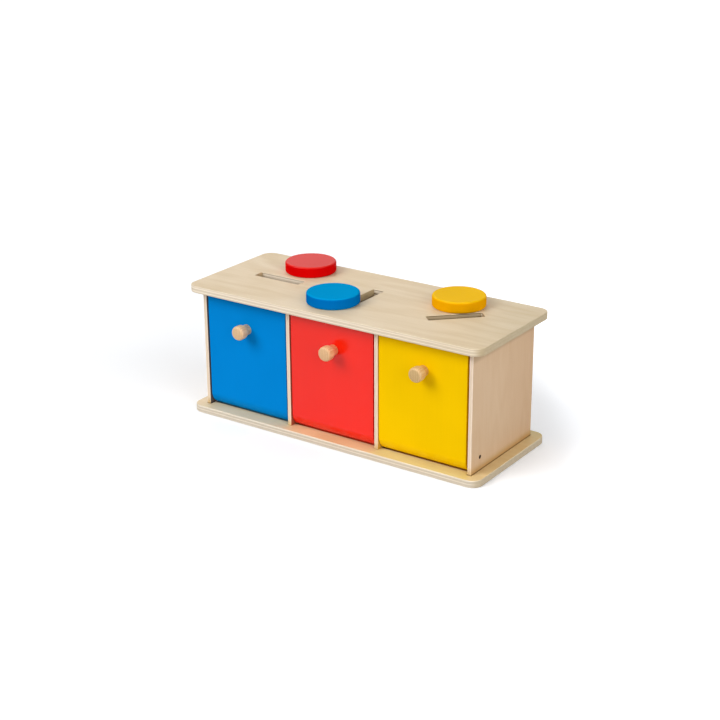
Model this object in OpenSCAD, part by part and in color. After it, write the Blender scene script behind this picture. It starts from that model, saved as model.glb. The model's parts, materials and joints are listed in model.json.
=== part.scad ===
// Wooden colour sorter: a plywood case with three bins that tilt forward on one steel rod,
// and three discs that drop through the slots in its top board.
// X runs along the case, Y towards its back and Z up. The origin is the middle of the base's underside.

/* [Boards] */
// Thickness of the base board and the top board
board_t = 6.5; // [5:0.5:10]
// Corner radius of both boards, seen from above
board_corner_r = 10; // [3:1:18]
// Reach of both boards past the end walls
end_overhang = 10.8; // [6:0.1:20]
// Reach of both boards in front of the walls
front_overhang = 9.2; // [5:0.1:16]
// Reach of both boards behind the walls
back_overhang = 9.2; // [5:0.1:16]
// Depth of the grooves that hold the walls
groove_depth = 2.5; // [1:0.5:4]
// Play between a wall and each side of its groove
groove_play = 0.05; // [0.02:0.01:0.2]

/* [Walls] */
// Clear width of one bay
bay_w = 87.5; // [75:0.5:110]
// Clear height between the boards
bay_h = 106.8; // [95:0.1:130]
// Depth of the end walls, front to back
wall_depth = 100; // [90:1:130]
// Thickness of the end walls
wall_t = 3.6; // [3:0.1:6]
// Thickness of the dividers between the bays
divider_t = 3.6; // [3:0.1:6]
// Thickness of the back panel
back_panel_t = 4; // [3:0.5:6]

/* [Bins] */
// Depth of a bin's face behind the front edges of the walls
face_recess = 0.8; // [0.3:0.1:5]
// Height of the pivot above the base board
pivot_height = 11.7; // [9:0.1:14]
// Radius of the rolled lower edge of a bin's face, about the pivot
roll_r = 13.2; // [11:0.1:15]
// Gap between the rolled edge and the floor of the relief it turns in
relief_gap = 0.5; // [0.3:0.1:1]
// Play in front of the rolled edge and behind it in that relief
relief_play = 2; // [0.5:0.1:3]
// Gap under a closed bin
floor_gap = 1.6; // [0.3:0.1:2.5]
// Gap between a bin and the wall on each side
side_gap = 1.2; // [0.4:0.1:2]
// Gap between a bin's face and the top board
face_top_gap = 1.5; // [0.5:0.1:4]
// Room between a closed bin and the back panel
back_room = 6; // [2:0.5:15]
// Thickness of a bin's painted face
face_t = 6; // [4:0.5:8]
// Thickness of a bin's sides
side_t = 4; // [3:0.5:6]
// Thickness of a bin's floor
floor_t = 4; // [3:0.5:6]
// Thickness of a bin's back
bin_back_t = 4; // [3:0.5:6]
// Drop of the sides' front corners below the top of the face
side_drop = 8; // [2:1:30]
// Angle to which a bin tilts out
tilt = 38; // [25:1:45]
// Gap between a bin's back and the top board at full tilt
stop_gap = 0.4; // [0.3:0.1:2]

/* [Pivot rod] */
// Diameter of the pivot rod
rod_d = 3; // [2:0.5:4]
// Depth of the rod's ends below the outer faces of the end walls
rod_recess = 2.2; // [0.5:0.1:2.5]
// Radial play of the rod in the walls and dividers
rod_seat_play = 0.02; // [0.01:0.01:0.1]
// Radial play of the bins on the rod
rod_run_play = 0.05; // [0.02:0.01:0.1]

/* [Knobs] */
// Diameter of a knob's head
knob_d = 12.8; // [10:0.2:18]
// Length of a knob's head
knob_head_l = 7.5; // [6:0.5:10]
// Rounding of a knob's head
knob_round = 2.6; // [1:0.1:2.9]
// Diameter of a knob's neck
neck_d = 10.4; // [7:0.2:11.6]
// Length of a knob's neck
neck_l = 7; // [4:0.5:12]
// Distance of the blue knob below the top of its face
blue_knob_drop = 25.5; // [15:0.5:50]
// Distance of the red knob below the top of its face
red_knob_drop = 25; // [15:0.5:50]
// Distance of the yellow knob below the top of its face
yellow_knob_drop = 24; // [15:0.5:50]
// Shift of the blue knob along the case, from the middle of its face
blue_knob_dx = 0.5; // [-10:0.5:10]
// Shift of the red knob along the case, from the middle of its face
red_knob_dx = 2; // [-10:0.5:10]
// Shift of the yellow knob along the case, from the middle of its face
yellow_knob_dx = 0.5; // [-10:0.5:10]
// Diameter of a knob's screw
screw_d = 3.5; // [2.5:0.5:4.5]
// Length of the screw inside the knob
screw_grip = 9; // [5:0.5:10]
// Diameter of the screw's head
screw_head_d = 7; // [6:0.5:9]
// Thickness of the screw's head
screw_head_t = 2.2; // [1.5:0.1:3]
// Length of the cross in the screw's head
screw_cross_l = 4.2; // [2:0.2:5]
// Width of the cross in the screw's head
screw_cross_w = 1; // [0.6:0.1:1.2]
// Depth of the cross in the screw's head
screw_cross_depth = 1; // [0.4:0.1:1.2]
// Radial play of the screw in the face
screw_hole_play = 0.3; // [0.1:0.05:0.5]
// Radial play of the screw in the knob
screw_bite_play = 0.02; // [0.01:0.01:0.05]

/* [Discs and slots] */
// Diameter of a disc
disc_d = 46; // [38:0.5:52]
// Thickness of a disc
disc_t = 10; // [6:0.5:14]
// Rounding of a disc's edges
disc_round = 1.2; // [0.5:0.1:2.5]
// Play at each end of a slot
slot_end_play = 1; // [0.5:0.1:4]
// Play at each side of a slot
slot_side_play = 0.4; // [0.3:0.1:2]
// Turn of the left slot from the length of the case
left_slot_turn = 0; // [0:5:175]
// Turn of the middle slot from the length of the case
middle_slot_turn = 90; // [0:5:175]
// Turn of the right slot from the length of the case
right_slot_turn = 45; // [0:5:175]
// Shift of the left slot along the case, from the middle of its bay
left_slot_dx = 0; // [-10:0.5:10]
// Shift of the left slot towards the back, from the middle of its bay
left_slot_dy = 0; // [-10:0.5:10]
// Shift of the middle slot along the case, from the middle of its bay
middle_slot_dx = 0.5; // [-10:0.5:10]
// Shift of the middle slot towards the back, from the middle of its bay
middle_slot_dy = -2.5; // [-10:0.5:10]
// Shift of the right slot along the case, from the middle of its bay
right_slot_dx = 0; // [-10:0.5:10]
// Shift of the right slot towards the back, from the middle of its bay
right_slot_dy = 0; // [-10:0.5:10]
// Shift of the red disc along the case, from the middle of the left bay
red_disc_dx = 10; // [-20:0.5:20]
// Shift of the red disc towards the back, from the middle of the left bay
red_disc_dy = 33; // [-10:0.5:36]
// Shift of the blue disc along the case, from the middle of the middle bay
blue_disc_dx = -14; // [-20:0.5:20]
// Shift of the blue disc towards the back, from the middle of the middle bay
blue_disc_dy = -26.5; // [-36:0.5:36]
// Shift of the yellow disc along the case, from the middle of the right bay
yellow_disc_dx = -12; // [-20:0.5:20]
// Shift of the yellow disc towards the back, from the middle of the right bay
yellow_disc_dy = 25.5; // [-10:0.5:36]

/* [Hidden] */
$fn = 96;
// Length by which a cut runs past the face it opens
over = 1;

bay_names = ["blue", "red", "yellow"];
bin_pieces = ["face", "left_side", "right_side", "floor", "back", "knob", "knob_screw"];
case_pieces = [
    "base_board", "top_board", "left_wall", "right_wall",
    "left_divider", "right_divider", "back_panel", "pivot_rod"
];

// Case, along X
case_inner_w = 3 * bay_w + 2 * divider_t;
case_w = case_inner_w + 2 * wall_t;
board_l = case_w + 2 * end_overhang;
bay_pitch = bay_w + divider_t;
bay_x = [-bay_pitch, 0, bay_pitch];
divider_x = [-bay_pitch / 2, bay_pitch / 2];

// Case, along Y
board_w = front_overhang + wall_depth + back_overhang;
board_front_y = -board_w / 2;
wall_front_y = board_front_y + front_overhang;
wall_back_y = wall_front_y + wall_depth;
wall_middle_y = wall_front_y + wall_depth / 2;
back_panel_y = wall_back_y - back_panel_t;

// Case, along Z
groove_floor_z = board_t - groove_depth;
top_under_z = board_t + bay_h;
top_z = top_under_z + board_t;
wall_h = bay_h + 2 * groove_depth;

// Bins: the face stands one roll radius in front of the pivot, so its lower edge turns in place
face_y = wall_front_y + face_recess;
face_inner_y = face_y + face_t;
pivot_y = face_y + roll_r;
pivot_z = board_t + pivot_height;
bin_w = bay_w - 2 * side_gap;
bin_inner_w = bin_w - 2 * side_t;
bin_back_y = back_panel_y - back_room;
bin_back_inner_y = bin_back_y - bin_back_t;
floor_z = board_t + floor_gap;
face_top_z = top_under_z - face_top_gap;
side_top_z = face_top_z - side_drop;
// The back is as high as lets its top edge stop just below the top board at full tilt
back_reach = bin_back_y - pivot_y;
back_top_z = pivot_z + (top_under_z - stop_gap - pivot_z - back_reach * sin(tilt)) / cos(tilt);

// Relief in the base board: where the rolled edge reaches below the top of the board, with play all round
relief_depth = roll_r - pivot_height + relief_gap;
relief_w = 2 * (sqrt(max(0, roll_r * roll_r - pivot_height * pivot_height)) + relief_play);

// Knobs and their screws
knob_x = bay_x + [blue_knob_dx, red_knob_dx, yellow_knob_dx];
knob_z = [for (drop = [blue_knob_drop, red_knob_drop, yellow_knob_drop]) face_top_z - drop];

// Discs and slots
slot_l = disc_d + 2 * slot_end_play;
slot_w = disc_t + 2 * slot_side_play;
slot_turn = [left_slot_turn, middle_slot_turn, right_slot_turn];
slot_shift = [[left_slot_dx, left_slot_dy], [middle_slot_dx, middle_slot_dy], [right_slot_dx, right_slot_dy]];
// Each disc, in the order of the bins, lies over the bay at this place in the row
disc_bay = [1, 0, 2];
disc_shift = [[blue_disc_dx, blue_disc_dy], [red_disc_dx, red_disc_dy], [yellow_disc_dx, yellow_disc_dy]];

// Middle of a bay on the ground
function bay_middle(bay) = [bay_x[bay], wall_middle_y, 0];

// Finishes
birch = [0.88, 0.81, 0.70];
beech = [0.90, 0.74, 0.55];
steel = [0.70, 0.71, 0.73];
paint = [[0.00, 0.51, 0.83], [0.97, 0.24, 0.20], [0.96, 0.77, 0.00]];

// Outline of both boards, with round corners
module board_outline() {
    corner_x = board_l / 2 - board_corner_r;
    corner_y = board_w / 2 - board_corner_r;
    square([2 * corner_x, board_w], center = true);
    square([board_l, 2 * corner_y], center = true);
    for (x = [-corner_x, corner_x], y = [-corner_y, corner_y])
        translate([x, y])
            circle(r = board_corner_r);
}

// Plan of the grooves: every wall, divider and the back panel, with play on each side
module groove_plan() {
    for (x = [-case_w / 2, case_w / 2 - wall_t])
        translate([x - groove_play, wall_front_y - groove_play])
            square([wall_t + 2 * groove_play, wall_depth + 2 * groove_play]);
    for (x = divider_x)
        translate([x - divider_t / 2 - groove_play, wall_front_y - groove_play])
            square([divider_t + 2 * groove_play, back_panel_y - wall_front_y + 2 * groove_play]);
    translate([-case_w / 2, back_panel_y - groove_play])
        square([case_w, back_panel_t + 2 * groove_play]);
}

// Hole along the pivot's axis, right through the case
module rod_hole(play) {
    translate([-case_w / 2 - over, pivot_y, pivot_z])
        rotate([0, 90, 0])
            cylinder(d = rod_d + 2 * play, h = case_w + 2 * over);
}

// Trough from end wall to end wall below the pivot, in which the bins' rolled edges turn
module relief() {
    translate([-case_inner_w / 2, pivot_y - relief_w / 2, board_t - relief_depth])
        cube([case_inner_w, relief_w, relief_depth + over]);
}

module base_board() {
    color(birch)
        difference() {
            linear_extrude(board_t)
                board_outline();
            translate([0, 0, groove_floor_z])
                linear_extrude(groove_depth + over)
                    groove_plan();
            if (relief_depth > 0)
                relief();
        }
}

module top_board() {
    color(birch)
        difference() {
            translate([0, 0, top_under_z])
                linear_extrude(board_t)
                    board_outline();
            translate([0, 0, top_under_z - over])
                linear_extrude(groove_depth + over)
                    groove_plan();
            for (bay = [0 : 2])
                translate(bay_middle(bay) + [slot_shift[bay][0], slot_shift[bay][1], top_under_z - over])
                    rotate(slot_turn[bay])
                        linear_extrude(board_t + 2 * over)
                            square([slot_l, slot_w], center = true);
        }
}

// Upright panel of the case from x, bored for the pivot rod
module bored_panel(x, thickness, depth) {
    color(birch)
        difference() {
            translate([x, wall_front_y, groove_floor_z])
                cube([thickness, depth, wall_h]);
            rod_hole(rod_seat_play);
        }
}

module end_wall(x) {
    bored_panel(x, wall_t, wall_depth);
}

module divider(middle_x) {
    bored_panel(middle_x - divider_t / 2, divider_t, back_panel_y - wall_front_y);
}

module back_panel() {
    color(birch)
        translate([-case_inner_w / 2, back_panel_y, groove_floor_z])
            cube([case_inner_w, back_panel_t, wall_h]);
}

module pivot_rod() {
    rod_l = case_w - 2 * rod_recess;
    color(steel)
        translate([-rod_l / 2, pivot_y, pivot_z])
            rotate([0, 90, 0])
                cylinder(d = rod_d, h = rod_l);
}

// Side view of a whole bin, as Y and Z: its lower front edge is an arc about the pivot
module bin_outline() {
    translate([pivot_y, pivot_z])
        circle(r = roll_r);
    polygon([
        [face_y, pivot_z], [pivot_y, pivot_z], [pivot_y, floor_z],
        [bin_back_y, floor_z], [bin_back_y, back_top_z], [face_inner_y, side_top_z],
        [face_inner_y, face_top_z], [face_y, face_top_z]
    ]);
}

// The part of a bin's side view inside a box of Y and Z, carried along X from x
module bin_slice(x, width, low, high) {
    translate([x, 0, 0])
        rotate([90, 0, 90])
            linear_extrude(width)
                intersection() {
                    bin_outline();
                    translate(low)
                        square(high - low);
                }
}

// Hole for a knob's screw through a bin's face
module screw_hole(bay) {
    translate([knob_x[bay], face_inner_y + over, knob_z[bay]])
        rotate([90, 0, 0])
            cylinder(d = screw_d + 2 * screw_hole_play, h = face_t + 2 * over);
}

module bin_face(bay) {
    color(paint[bay])
        difference() {
            bin_slice(bay_x[bay] - bin_w / 2, bin_w, [face_y, floor_z], [face_inner_y, face_top_z]);
            screw_hole(bay);
        }
}

// A bin's side from x, bored to turn on the rod
module bin_side(x) {
    color(birch)
        difference() {
            bin_slice(x, side_t, [face_inner_y, floor_z], [bin_back_y, side_top_z]);
            rod_hole(rod_run_play);
        }
}

module bin_left_side(bay) {
    bin_side(bay_x[bay] - bin_w / 2);
}

module bin_right_side(bay) {
    bin_side(bay_x[bay] + bin_w / 2 - side_t);
}

module bin_floor(bay) {
    x = bay_x[bay] - bin_inner_w / 2;
    color(birch)
        bin_slice(x, bin_inner_w, [face_inner_y, floor_z], [bin_back_inner_y, floor_z + floor_t]);
}

module bin_back(bay) {
    x = bay_x[bay] - bin_inner_w / 2;
    color(birch)
        translate([x, bin_back_inner_y, floor_z])
            cube([bin_inner_w, bin_back_t, back_top_z - floor_z]);
}

// Half section of a round piece with rounded edges, standing on Y = 0
module rounded_section(diameter, thickness, rounding) {
    square([diameter / 2 - rounding, thickness]);
    translate([0, rounding])
        square([diameter / 2, thickness - 2 * rounding]);
    for (y = [rounding, thickness - rounding])
        translate([diameter / 2 - rounding, y])
            circle(r = rounding);
}

// Places a turned piece on a bin's face, pointing forward
module on_face(bay) {
    translate([knob_x[bay], face_y, knob_z[bay]])
        rotate([90, 0, 0])
            children();
}

module bin_knob(bay) {
    color(beech)
        on_face(bay)
            difference() {
                union() {
                    cylinder(d = neck_d, h = neck_l + knob_round);
                    translate([0, 0, neck_l])
                        rotate_extrude()
                            rounded_section(knob_d, knob_head_l, knob_round);
                }
                translate([0, 0, -over])
                    cylinder(d = screw_d + 2 * screw_bite_play, h = screw_grip + over);
            }
}

module bin_knob_screw(bay) {
    color(steel)
        on_face(bay)
            difference() {
                union() {
                    translate([0, 0, -face_t])
                        cylinder(d = screw_d, h = face_t + screw_grip);
                    translate([0, 0, -face_t - screw_head_t])
                        cylinder(d = screw_head_d, h = screw_head_t);
                }
                translate([0, 0, -face_t - screw_head_t])
                    for (turn = [0, 90])
                        rotate(turn)
                            cube([screw_cross_l, screw_cross_w, 2 * screw_cross_depth], center = true);
            }
}

module disc(bay) {
    color(paint[bay])
        translate(bay_middle(disc_bay[bay]) + [disc_shift[bay][0], disc_shift[bay][1], top_z])
            rotate_extrude()
                rounded_section(disc_d, disc_t, disc_round);
}

base_board();
top_board();
end_wall(-case_w / 2);  // left_wall
end_wall(case_w / 2 - wall_t);  // right_wall
divider(divider_x[0]);  // left_divider
divider(divider_x[1]);  // right_divider
back_panel();
pivot_rod();

for (bay = [0 : 2]) {
    name = bay_names[bay];
    bin_face(bay);
    bin_left_side(bay);
    bin_right_side(bay);
    bin_floor(bay);
    bin_back(bay);
    bin_knob(bay);
    bin_knob_screw(bay);
    disc(bay);
}
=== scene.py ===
import json
import math

import bpy
import numpy as np
from mathutils import Matrix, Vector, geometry


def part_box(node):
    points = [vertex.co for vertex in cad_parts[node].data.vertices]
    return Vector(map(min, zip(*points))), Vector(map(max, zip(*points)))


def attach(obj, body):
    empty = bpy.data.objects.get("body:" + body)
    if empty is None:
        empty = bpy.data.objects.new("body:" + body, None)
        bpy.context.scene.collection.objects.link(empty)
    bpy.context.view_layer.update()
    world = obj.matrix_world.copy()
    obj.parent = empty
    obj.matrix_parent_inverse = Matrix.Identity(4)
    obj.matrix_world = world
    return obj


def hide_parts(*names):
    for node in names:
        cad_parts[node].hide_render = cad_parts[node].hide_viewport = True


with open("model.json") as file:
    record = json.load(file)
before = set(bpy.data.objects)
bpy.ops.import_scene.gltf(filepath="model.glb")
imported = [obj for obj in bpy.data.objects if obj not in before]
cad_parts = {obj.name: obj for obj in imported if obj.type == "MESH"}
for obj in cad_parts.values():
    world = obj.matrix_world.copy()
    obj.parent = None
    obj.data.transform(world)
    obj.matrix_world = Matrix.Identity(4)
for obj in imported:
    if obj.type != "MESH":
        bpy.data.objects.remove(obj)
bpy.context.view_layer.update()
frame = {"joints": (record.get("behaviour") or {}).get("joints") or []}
mm = 0.001  # sizes below are in millimetres
bays = ("blue", "red", "yellow")  # from left to right
axisRow = dict(zip("xyz", np.eye(3)))
hinge = {joint["child"]: joint for joint in frame["joints"]}
pivotY, pivotZ = np.array(hinge["blue_bin"]["pos_m"])[1:] / mm


# Lowest and highest corner of a CAD node
def nodeBox(node):
    low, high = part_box(node)
    return np.array(low) / mm, np.array(high) / mm


# Makes an object of some data and puts it in the scene
def addObject(name, data):
    made = bpy.data.objects.new(name, data)
    bpy.context.scene.collection.objects.link(made)
    return made


# Camera

view = {
    "azimuth": 34.706,  # degrees from the front towards the right end
    "elevation": 21.055,
    "roll": -0.281,
    "distance": 1339.3,
    "aimRight": -4.103,  # aim point off the middle of the case, across the picture
    "aimUp": -0.412,
    "aimHeight": 62,
    "lens": 76.905,
    "sensor": 36,
}


def placeCamera():
    azimuth, elevation, roll = (math.radians(view[k]) for k in ("azimuth", "elevation", "roll"))
    level = math.cos(elevation)
    back = np.array([math.sin(azimuth) * level, -math.cos(azimuth) * level, math.sin(elevation)])
    right = np.array([math.cos(azimuth), math.sin(azimuth), 0])
    up = np.cross(back, right)
    aim = view["aimRight"] * right + view["aimUp"] * up + view["aimHeight"] * axisRow["z"]
    place = np.eye(4)
    place[:3, 0] = math.cos(roll) * right + math.sin(roll) * up
    place[:3, 1] = math.cos(roll) * up - math.sin(roll) * right
    place[:3, 2] = back
    place[:3, 3] = (aim + view["distance"] * back) * mm
    camera = addObject("camera", bpy.data.cameras.new("camera"))
    camera.data.lens = view["lens"]
    camera.data.sensor_width = view["sensor"]
    camera.matrix_world = Matrix(place.tolist())
    bpy.context.scene.camera = camera


placeCamera()
print("camera placed")


# Node helpers

# Adds a shader node: settings go on the node, inputs take a value or a link
def put(tree, kind, inputs=None, **settings):
    node = tree.nodes.new("ShaderNode" + kind)
    for name, value in settings.items():
        setattr(node, name, value)
    for name, value in (inputs or {}).items():
        if isinstance(value, bpy.types.NodeSocket):
            tree.links.new(value, node.inputs[name])
        else:
            node.inputs[name].default_value = value
    return node


# Tree that the first socket among some values belongs to; the helpers below add their nodes there
def treeOf(*values):
    return next(value.id_data for value in values if isinstance(value, bpy.types.NodeSocket))


def maths(operation, first, second=0.0, clamp=False):
    settings = {"operation": operation, "use_clamp": clamp}
    return put(treeOf(first, second), "Math", {0: first, 1: second}, **settings).outputs[0]


def times(product, *factors):
    for factor in factors:
        product = maths("MULTIPLY", product, factor)
    return product


def plus(total, *terms):
    for term in terms:
        total = maths("ADD", total, term)
    return total


# What a share leaves of 1
def rest(share):
    return maths("SUBTRACT", 1.0, share)


# Noise with its own count of features per metre along each axis
def noise(vector, perMetre, detail=2.0):
    tree = treeOf(vector)
    stretched = put(tree, "VectorMath", {0: vector, 1: perMetre}, operation="MULTIPLY").outputs[0]
    return put(tree, "TexNoise", {"Vector": stretched, "Scale": 1.0, "Detail": detail}).outputs[0]


# Smooth step of a value from 0 at low to 1 at high
def ramp(value, low, high):
    inputs = {"Value": value, "From Min": low, "From Max": high}
    return put(treeOf(value), "MapRange", inputs, interpolation_type="SMOOTHSTEP").outputs[0]


# The same for a coordinate, with both ends in millimetres
def above(value, low, high):
    return ramp(value, low * mm, high * mm)


# 1 below low and 0 above high
def below(value, low, high):
    return rest(above(value, low, high))


# Distance of a coordinate from a middle
def apart(value, middle):
    return maths("ABSOLUTE", maths("SUBTRACT", value, middle * mm))


# Sockets 6 and 7 of a Mix node are its two colours, and 2 is what comes out
def mixColour(share, first, second, blend="MIX"):
    inputs, tree = {0: share, 6: first, 7: second}, treeOf(share, first, second)
    return put(tree, "Mix", inputs, data_type="RGBA", blend_type=blend).outputs[2]


# Multiplies a tint onto a colour, as far as the share says
def tintOver(share, colour, tint):
    return mixColour(share, colour, tint, "MULTIPLY")


# Linear colour of a screen tone, 0 to 255
def tone(onScreen):
    screen = np.array(onScreen) / 255
    linear = np.where(screen <= 0.04045, screen / 12.92, ((screen + 0.055) / 1.055) ** 2.4)
    return (*linear.tolist(), 1.0)


# Takes a colour a mark's share of the way to the mark's tone, where the area is 1
def stain(colour, area, mark):
    return mixColour(times(area, mark["share"]), colour, tone(mark["tone"]))


def objectPlace(tree):
    return put(tree, "TexCoord").outputs["Object"]


def splitPlace(place):
    return put(treeOf(place), "SeparateXYZ", {0: place}).outputs


# Object coordinates turned so that X runs along the grain and Z through the sheet
def sheetPlace(tree, turn):
    inputs = {"Vector": objectPlace(tree), "Rotation": [math.radians(a) for a in turn]}
    return put(tree, "Mapping", inputs).outputs[0]


def mask(tree, name):
    return put(tree, "Attribute", attribute_name=name, attribute_type="GEOMETRY").outputs["Fac"]


# One tone for each bay, changing at the dividers over a soft stretch
def byBay(x, tones, soft=0.5):
    blue, red, yellow = (tone(tones[bay]) for bay in bays)
    middles = (sum(nodeBox(node))[0] / 2 for node in ("left_divider", "right_divider"))
    pastLeft, pastRight = (above(x, middle - soft, middle + soft) for middle in middles)
    return mixColour(pastRight, mixColour(pastLeft, blue, red), yellow)


# Node group: a place, colours and values go in; a colour, a height and perhaps further values come out
def newGroup(name, colours, values, further=()):
    tree = bpy.data.node_groups.new(name, "ShaderNodeTree")
    inputs = {"Vector": "Vector", **dict.fromkeys(colours, "Color"), **dict.fromkeys(values, "Float")}
    outputs = {"Color": "Color", **dict.fromkeys(("Height", *further), "Float")}
    for way, sockets in (("INPUT", inputs), ("OUTPUT", outputs)):
        for label, kind in sockets.items():
            tree.interface.new_socket(label, in_out=way, socket_type="NodeSocket" + kind)
    return tree, tree.nodes.new("NodeGroupInput").outputs, tree.nodes.new("NodeGroupOutput").inputs


def newMaterial(name, shader):
    material = bpy.data.materials.new(name)
    material.use_nodes = True
    principled = material.node_tree.nodes["Principled BSDF"]
    for label, value in shader.items():
        principled.inputs[label].default_value = value
    return material, material.node_tree, principled


# Links what varies over a piece to its shader; depth is that of the relief
def linkShader(tree, principled, colour, roughness, height, depth):
    tree.links.new(colour, principled.inputs["Base Color"])
    tree.links.new(roughness, principled.inputs["Roughness"])
    relief = put(tree, "Bump", {"Height": height, "Strength": 1.0, "Distance": depth * mm})
    tree.links.new(relief.outputs[0], principled.inputs["Normal"])


# Shared effects

# In their settings three counts are features per metre along the grain, across it and through the sheet,
# a ramp is where an effect starts and where it is full, and a share is how far it goes

veneer = {
    "bands": (7, 34, 34),
    "bandTurns": 34,  # radians of the bands' sine over the field's range
    "bandShare": 0.2,
    "fibres": (45, 1500, 1500),
    "fibreShare": 0.9,
    "patches": (16, 30, 30),
    "patchShare": 1.1,
    "pores": (170, 3200, 3200),
    "poreRamp": (0.62, 0.74),
    "poreTone": (150, 118, 84),
    "poreDepth": 0.6,  # against the fibres' height
}


# Face of a peeled veneer: slow bands are contours of a long smooth field, fibres and pores stretched noise
def makeVeneerGroup():
    tree, given, result = newGroup("veneerFace", ("Pale", "Deep"), ("Figure", "Pores"))
    place = given["Vector"]
    field = times(noise(place, veneer["bands"], detail=1.5), veneer["bandTurns"])
    bands = times(maths("SINE", field), veneer["bandShare"])
    fibre = noise(place, veneer["fibres"], detail=3)
    patches = times(noise(place, veneer["patches"]), veneer["patchShare"])
    drift = plus(times(fibre, veneer["fibreShare"]), patches, -1.0, bands)  # the first two sum to about 1
    share = maths("ADD", times(drift, given["Figure"]), 0.5, clamp=True)
    wood = mixColour(share, given["Pale"], given["Deep"])
    pore = ramp(noise(place, veneer["pores"], detail=1), *veneer["poreRamp"])
    dark = times(pore, given["Pores"])
    tree.links.new(mixColour(dark, wood, tone(veneer["poreTone"])), result["Color"])
    sunk = times(pore, veneer["poreDepth"])
    tree.links.new(maths("SUBTRACT", fibre, sunk), result["Height"])
    return tree


cutEdge = {
    "wander": (40, 40, 40),
    "wanderShare": 0.3,  # of a layer's thickness
    "streaks": (60, 60, 2600),
    "streakRamp": (0.35, 0.75),
    "streak": {"tone": (206, 180, 146), "share": 0.25},
    "specks": (1900, 1900, 1900),
    "blotches": (260, 260, 600),
    "blotchRamp": (0.35, 0.7),
    "blotch": {"tone": (186, 164, 128), "share": 0.3},
    "glueRamp": (0.02, 0.13),  # from the middle of a glue line, in layers
    "glue": {"tone": (150, 118, 84), "share": 0.3},
    "endRamp": (0.3, 0.9),  # of the endFace mask
    "endShare": 0.9,
}


# Cut edge of plywood: layers in turn run along the edge or across it, with a thin glue line between them;
# where the edge cuts across the face grain, they merge into one mottled tone
def makeEdgeGroup():
    tree, given, result = newGroup("plyEdge", ("Along", "Across", "End"), ("Ply", "End Face", "Layers"))
    place = given["Vector"]
    wander = times(plus(noise(place, cutEdge["wander"]), -0.5), cutEdge["wanderShare"])
    depth = plus(times(given["Ply"], given["Layers"]), wander)
    odd = maths("MODULO", maths("FLOOR", maths("MAXIMUM", depth, 0.0)), 2.0)
    layer = mixColour(odd, given["Along"], given["Across"])
    streak = ramp(noise(place, cutEdge["streaks"]), *cutEdge["streakRamp"])
    layer = stain(layer, streak, cutEdge["streak"])
    glue = rest(ramp(maths("PINGPONG", depth, 0.5), *cutEdge["glueRamp"]))
    lined = stain(layer, glue, cutEdge["glue"])
    blotch = ramp(noise(place, cutEdge["blotches"], detail=3), *cutEdge["blotchRamp"])
    ended = stain(given["End"], blotch, cutEdge["blotch"])
    onEnd = times(ramp(given["End Face"], *cutEdge["endRamp"]), cutEdge["endShare"])
    tree.links.new(mixColour(onEnd, lined, ended), result["Color"])
    speck = times(noise(place, cutEdge["specks"]), odd)
    tree.links.new(maths("SUBTRACT", speck, glue), result["Height"])
    return tree


film = {
    "slow": (16, 16, 16),
    "slowShare": 0.85,
    "grain": (30, 620, 620),
    "grainShare": 0.15,
    "driftRamp": (0.35, 0.7),
    "driftTint": (249, 249, 249),  # multiplied
    "sideRamp": (0.7, 0.95),  # of the rim mask
    "sideDull": 0.9,  # how much of the gloss a side loses
    "worn": (120, 120, 120),
    "wornRamp": (0.4, 0.62),
    "wornShare": 1.2,
    "stipple": (900, 900, 900),
    "roughness": 0.24,
    "stippleRough": 0.12,
    "slowRough": 0.1,
    "stippleHeight": 0.7,
    "grainHeight": 0.2,
}


# Satin paint: slow drift of tone, faint grain below it, roller stipple, deeper and duller sides, which on the
# discs are partly painted shade against a paler top that is partly a painted sheen, and a paler worn line
# along the rims
def makePaintGroup():
    further = ("Roughness", "Gloss")
    tree, given, result = newGroup("satinPaint", ("Paint", "Side", "Worn"), ("Rim", "Gloss"), further)
    place = given["Vector"]
    slow, grain, stipple = (noise(place, film[part]) for part in ("slow", "grain", "stipple"))
    drift = plus(times(slow, film["slowShare"]), times(grain, film["grainShare"]))
    onSide = ramp(given["Rim"], *film["sideRamp"])
    flat = mixColour(onSide, given["Paint"], given["Side"])
    coat = tintOver(ramp(drift, *film["driftRamp"]), flat, tone(film["driftTint"]))
    dull = rest(times(onSide, film["sideDull"]))
    tree.links.new(times(given["Gloss"], dull), result["Gloss"])
    ridge = times(given["Rim"], rest(given["Rim"]))
    patchy = ramp(noise(place, film["worn"], detail=3), *film["wornRamp"])
    wearAndGapShade = maths("MULTIPLY", times(ridge, patchy), film["wornShare"], clamp=True)
    tree.links.new(mixColour(wearAndGapShade, coat, given["Worn"]), result["Color"])
    sheen = plus(times(stipple, film["stippleRough"]), times(slow, film["slowRough"]))
    tree.links.new(plus(sheen, film["roughness"]), result["Roughness"])
    height = plus(times(stipple, film["stippleHeight"]), times(grain, film["grainHeight"]))
    tree.links.new(height, result["Height"])
    return tree


veneerFace = makeVeneerGroup()
plyEdge = makeEdgeGroup()
satinPaint = makePaintGroup()
print("shared effects built")


# Finishes

# Tints are multiplied onto what lies below them, and a value above 255 makes that paler

seam = {"tone": (118, 80, 40), "share": 0.6}  # line where a wall stands in the base board

wallMarks = {
    "foot": (230, 216, 174),  # tint of painted warm bounce and shade at the foot
    "footShadeRise": 8,
    "head": (229, 228, 225),  # tint of the shade below the top board
    "headDrop": (11.4, 7),  # below the board, where the shade starts and where it is full
    "back": (246, 240, 234),  # tint of painted shade towards the back
    "backShadeRamp": (-15, 50),  # along Y
    "seamRise": (0.3, 0.8),
    # painted shade and thrown colour of each face in the gaps beside it
    "wearAndGapShade": {"blue": (8, 38, 66), "red": (160, 40, 28), "yellow": (212, 166, 40)},
    "gapShadeRamp": (-44.5, -41.5),  # along Y
    "gapShadeInset": (0.45, 0.15),  # from the end walls' outer faces, which stay without it
    "gapShadeShare": 0.8,
    # painted shade in the bores round the rod
    "boreShade": (58, 38, 22),
    "boreR": (1.55, 1.9),
}
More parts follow.
